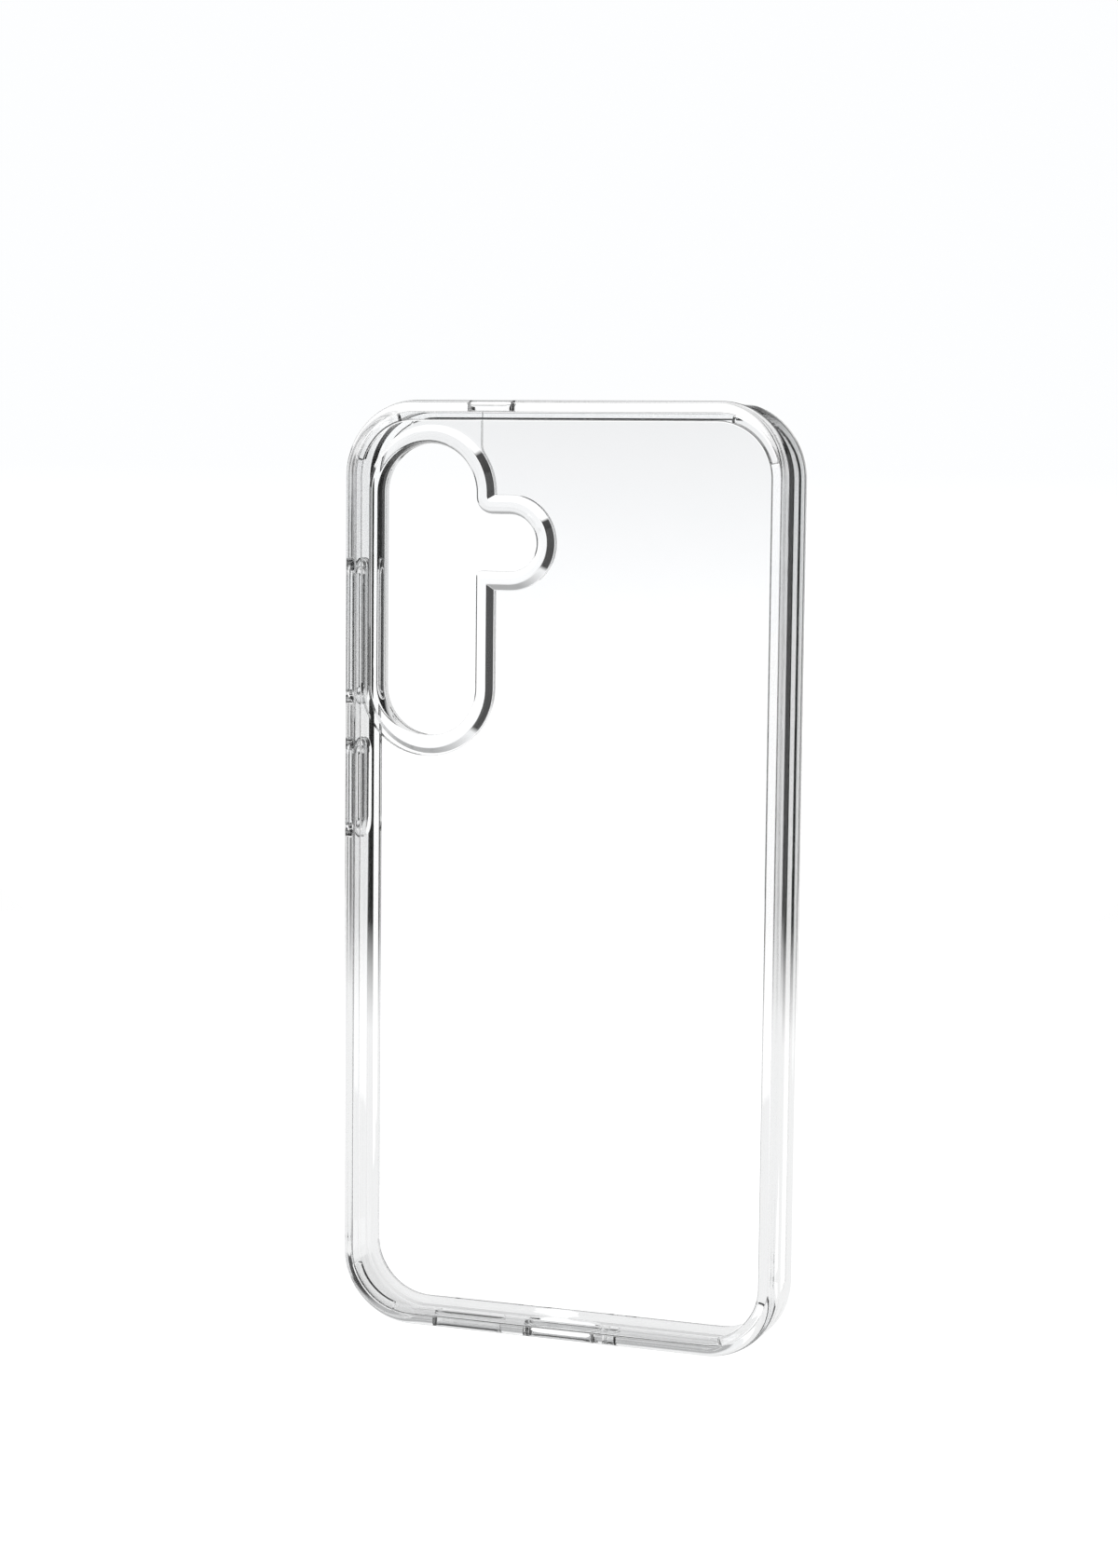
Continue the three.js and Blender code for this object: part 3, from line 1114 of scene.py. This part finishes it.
@dataclass(frozen=True)
class Studio:
    """White table, the rooms that light finds round it, and the camera. Lengths are in metres.

    Light that goes straight through one wall comes from a white room with two narrow black cards
    and a grey ceiling. Light that the case reflects, or turns at more than two surfaces, comes
    from white panels in a dark room, which draws the clear case's edges.
    """

    table_half: float = 2.4
    table_drop: float = 0.0002
    white_top: float = 0.83
    fall_low: float = -3.0
    fall_high: float = 1.15
    side_blur: float = 1.5
    top_blur: float = 1.0
    reflected_once: float = 0.5
    turned_thrice: float = 2.5
    glow: tuple[float, float, float, float] = (1.0, 1.0, 1.0, 1.0)
    sky: tuple[float, float, float, float] = (0.985, 0.992, 1.0, 1.0)
    bounces: int = 24
    glossy_bounces: int = 16
    straight: Room = Room(
        walls=1.14, ceiling=(14.0, 26.0, 0.5), table=(0.55, 0.61, 1.14),
        panels=(Panel(bearing=27.0, half_width=7.0, top=12.0, level=-1.08),
                Panel(bearing=-28.0, half_width=8.0, top=12.0, level=-1.08)))
    turned: Room = Room(
        walls=0.012, ceiling=(26.0, 42.0, 0.45), table=(0.32, 0.53, 0.90),
        panels=(
            Panel(bearing=0.0, half_width=14.0, top=9.0, level=1.14),
            Panel(bearing=90.0, half_width=32.0, top=20.0, level=0.85),
            Panel(bearing=205.0, half_width=16.0, top=12.0, level=0.4),
            Panel(bearing=-98.0, half_width=30.0, top=25.0, level=0.80),
        ))
    camera_place: tuple[float, float, float] = (0.18953, -0.51666, 0.15082)
    lens: float = 73.79
    heading: float = 0.3539
    dip: float = 0.098
    roll: float = 0.0106
    sensor: float = 36.0
    nearest: float = 0.01

    def build(self) -> None:
        """Make the world, the table and the camera."""
        scene = bpy.context.scene
        scene.view_settings.view_transform = "Standard"
        scene.view_settings.look = "None"
        scene.cycles.use_denoising = True
        scene.cycles.max_bounces = self.bounces
        scene.cycles.transmission_bounces = self.bounces
        scene.cycles.glossy_bounces = self.glossy_bounces
        scene.cycles.blur_glossy = 0.0
        panels = self.panel_group()
        self.world(scene, panels)
        self.floor(panels)
        self.camera(scene)

    def step(self, net: Net, height: Term, angles: tuple[float, float],
             levels: tuple[float, float]) -> Term:
        """A soft step on the height of a direction.

        Args:
            net: the group's nodes.
            height: the (node, output) with the direction's height over its length.
            angles: the two angles in degrees between which the level changes.
            levels: the level at each of them.

        Returns:
            The (node, output) with the level.
        """
        low, high = (math.sin(math.radians(angle)) for angle in angles)
        return net.ranged(height, low, high, *levels)

    def panel_group(self) -> bpy.types.NodeTree:
        """The node group for the studio's light in a direction.

        Both rooms add up their walls, ceiling and panels. Straight also falls off a little from
        below the horizon upwards.

        Returns:
            A group that turns a direction into two levels of light.
        """
        group = bpy.data.node_groups.new("studio_light", "ShaderNodeTree")
        group.interface.new_socket("Direction", in_out="INPUT", socket_type="NodeSocketVector")
        group.interface.new_socket("Straight", in_out="OUTPUT", socket_type="NodeSocketFloat")
        group.interface.new_socket("Turned", in_out="OUTPUT", socket_type="NodeSocketFloat")
        net = Net(group)
        given = net.add("NodeGroupInput")
        whole = net.vectors("NORMALIZE", (given, "Direction"))
        flat = net.vectors("MULTIPLY", (given, "Direction"), (1.0, 1.0, 0.0))
        along = net.vectors("NORMALIZE", flat)
        height = (net.add("ShaderNodeSeparateXYZ", Vector=whole), "Z")
        fall = self.step(net, height, (self.fall_low, self.fall_high), (1.0, self.white_top))
        straight = net.maths("MULTIPLY", self.lit(net, along, height, self.straight), fall)
        turned = self.lit(net, along, height, self.turned)
        net.add("NodeGroupOutput", Straight=straight, Turned=turned)
        return group

    def lit(self, net: Net, along: Term, height: Term, room: Room) -> Term:
        """A room's walls, ceiling and panels added up.

        A panel is its level times two soft steps, one on the cosine of the bearing from its
        middle, one on the direction's height over its length.

        Args:
            net: the group's nodes.
            along: the (node, output) with the direction's level part.
            height: the (node, output) with the direction's height.
            room: the room.

        Returns:
            The (node, output) with the level.
        """
        low, high, level = room.ceiling
        total = self.step(net, height, (low, high), (room.walls, level))
        for panel in room.panels:
            bearing = self.heading + math.radians(panel.bearing)
            middle = (-math.sin(bearing), math.cos(bearing), 0.0)
            across = net.ranged(net.vectors("DOT_PRODUCT", along, middle),
                                math.cos(math.radians(panel.half_width + self.side_blur)),
                                math.cos(math.radians(panel.half_width - self.side_blur)))
            up = self.step(net, height, (panel.top - self.top_blur, panel.top + self.top_blur),
                           (panel.level, 0.0))
            total = net.maths("ADD", total, net.maths("MULTIPLY", across, up))
        return total

    def seen(self, net: Net, straight: Term, turned: Term) -> Term:
        """The level for a ray: white to the camera, turned after a reflection or a third surface.

        Args:
            net: the material's nodes.
            straight: level for light that passes straight through one wall.
            turned: level for the rest.

        Returns:
            The (node, output) with the level.
        """
        path = net.add("ShaderNodeLightPath")
        reflected = net.maths("GREATER_THAN", (path, "Glossy Depth"), self.reflected_once)
        deep = net.maths("GREATER_THAN", (path, "Transmission Depth"), self.turned_thrice)
        either = net.maths("MAXIMUM", reflected, deep)
        change = net.maths("MULTIPLY", net.maths("SUBTRACT", turned, straight), either)
        level = net.maths("ADD", straight, change)
        return net.maths("MAXIMUM", level, (path, "Is Camera Ray"))

    def world(self, scene: bpy.types.Scene, panels: bpy.types.NodeTree) -> None:
        """The room round the table.

        Args:
            scene: the scene that gets it.
            panels: the studio's light.
        """
        world = bpy.data.worlds.new("room")
        world.use_nodes = True
        net = Net(world.node_tree)
        where = (net.add("ShaderNodeTexCoord"), "Generated")
        light = net.add("ShaderNodeGroup", panels, Direction=where)
        level = self.seen(net, (light, "Straight"), (light, "Turned"))
        sky = net.add("ShaderNodeBackground", Color=self.sky, Strength=level)
        net.add("ShaderNodeOutputWorld", Surface=(sky, "Background"))
        scene.world = world

    def floor(self, panels: bpy.types.NodeTree) -> None:
        """The white table: turned light finds it bright near the case, and like the room beyond.

        The table glows instead of being lit: its emission paints a pool of light near the case, and
        beyond it the room's light, taken in the direction from a fixed point over the table's
        middle.

        Args:
            panels: the studio's light.
        """
        half, z = self.table_half, -self.table_drop
        mesh = bpy.data.meshes.new("table")
        corners = [(-half, -half, z), (half, -half, z), (half, half, z), (-half, half, z)]
        mesh.from_pydata(corners, [], [(0, 1, 2, 3)])
        table = bpy.data.objects.new("table", mesh)
        bpy.context.scene.collection.objects.link(table)
        made = bpy.data.materials.new("white_table")
        made.use_nodes = True
        net = Net(made.node_tree)
        where = (net.add("ShaderNodeNewGeometry"), "Position")
        below = net.vectors("SUBTRACT", where, (0.0, 0.0, self.camera_place[2]))
        light = net.add("ShaderNodeGroup", panels, Direction=below)
        distance = net.vectors("LENGTH", where)
        levels = []
        for label, room in (("Straight", self.straight), ("Turned", self.turned)):
            # painted pool of light: the table's glow is brightest near the case and fades with
            # distance
            near = net.ranged(distance, *room.table, 0.0)
            levels.append(net.maths("MAXIMUM", near, (light, label)))
        glow = net.add("ShaderNodeEmission", Color=self.glow, Strength=self.seen(net, *levels))
        net.add("ShaderNodeOutputMaterial", Surface=(glow, "Emission"))
        made.cycles.emission_sampling = "NONE"
        mesh.materials.append(made)

    def camera(self, scene: bpy.types.Scene) -> None:
        """Aim the camera: turned by heading about Z, dipped, and rolled about its own axis.

        Args:
            scene: the scene that gets it.
        """
        a, e, r = self.heading, self.dip, self.roll
        ahead = Vector((-math.sin(a) * math.cos(e), math.cos(a) * math.cos(e), -math.sin(e)))
        level = Vector((math.cos(a), math.sin(a), 0.0))
        above = level.cross(ahead)
        right = math.cos(r) * level + math.sin(r) * above
        up = math.cos(r) * above - math.sin(r) * level
        lens = bpy.data.cameras.new("camera")
        lens.lens = self.lens
        lens.sensor_width = self.sensor
        lens.clip_start = self.nearest
        camera = bpy.data.objects.new("camera", lens)
        bpy.context.scene.collection.objects.link(camera)
        turn = Matrix((right, up, -ahead)).transposed().to_4x4()
        camera.matrix_world = Matrix.Translation(self.camera_place) @ turn
        scene.camera = camera


# ---------------------------------------------------------------- assembly
def main() -> None:
    """Build the studio and every sub-assembly, and report each piece."""
    logging.basicConfig(level=logging.INFO, format="%(name)s: %(message)s", force=True)
    Studio().build()
    skin = moulded_skin()
    soft = SOFT_CLEAR.material(skin)
    hard = HARD_CLEAR.material(skin)
    web = WEB_CLEAR.material(skin)
    pad = CUSHION_CLEAR.material(skin)
    shell = Shell.from_frame()
    opening = CameraOpening(shell)
    panel = RearPanel(shell, opening)
    cushions = [Cushion("top_right", shell, 1, 1), Cushion("top_left", shell, -1, 1),
                Cushion("bottom_left", shell, -1, -1), Cushion("bottom_right", shell, 1, -1)]
    made = [cushion.build(pad) for cushion in cushions]
    made.append(Bumper(shell).build(soft, cushions))
    made.append(BackPlate(panel).build(hard, cushions))
    made.append(CameraSurround(panel).build(soft, cushions))
    for cover in (KeyCover("volume", shell, VOLUME_WINDOW, "volume_key"),
                  KeyCover("power", shell, POWER_WINDOW, "power_key")):
        made.append(cover.build_pad(soft))
        made.append(cover.build_web(web))
    for piece in made:
        LOG.info("%s: %d faces", piece.name, len(piece.data.polygons))


if __name__ == "__main__":
    main()
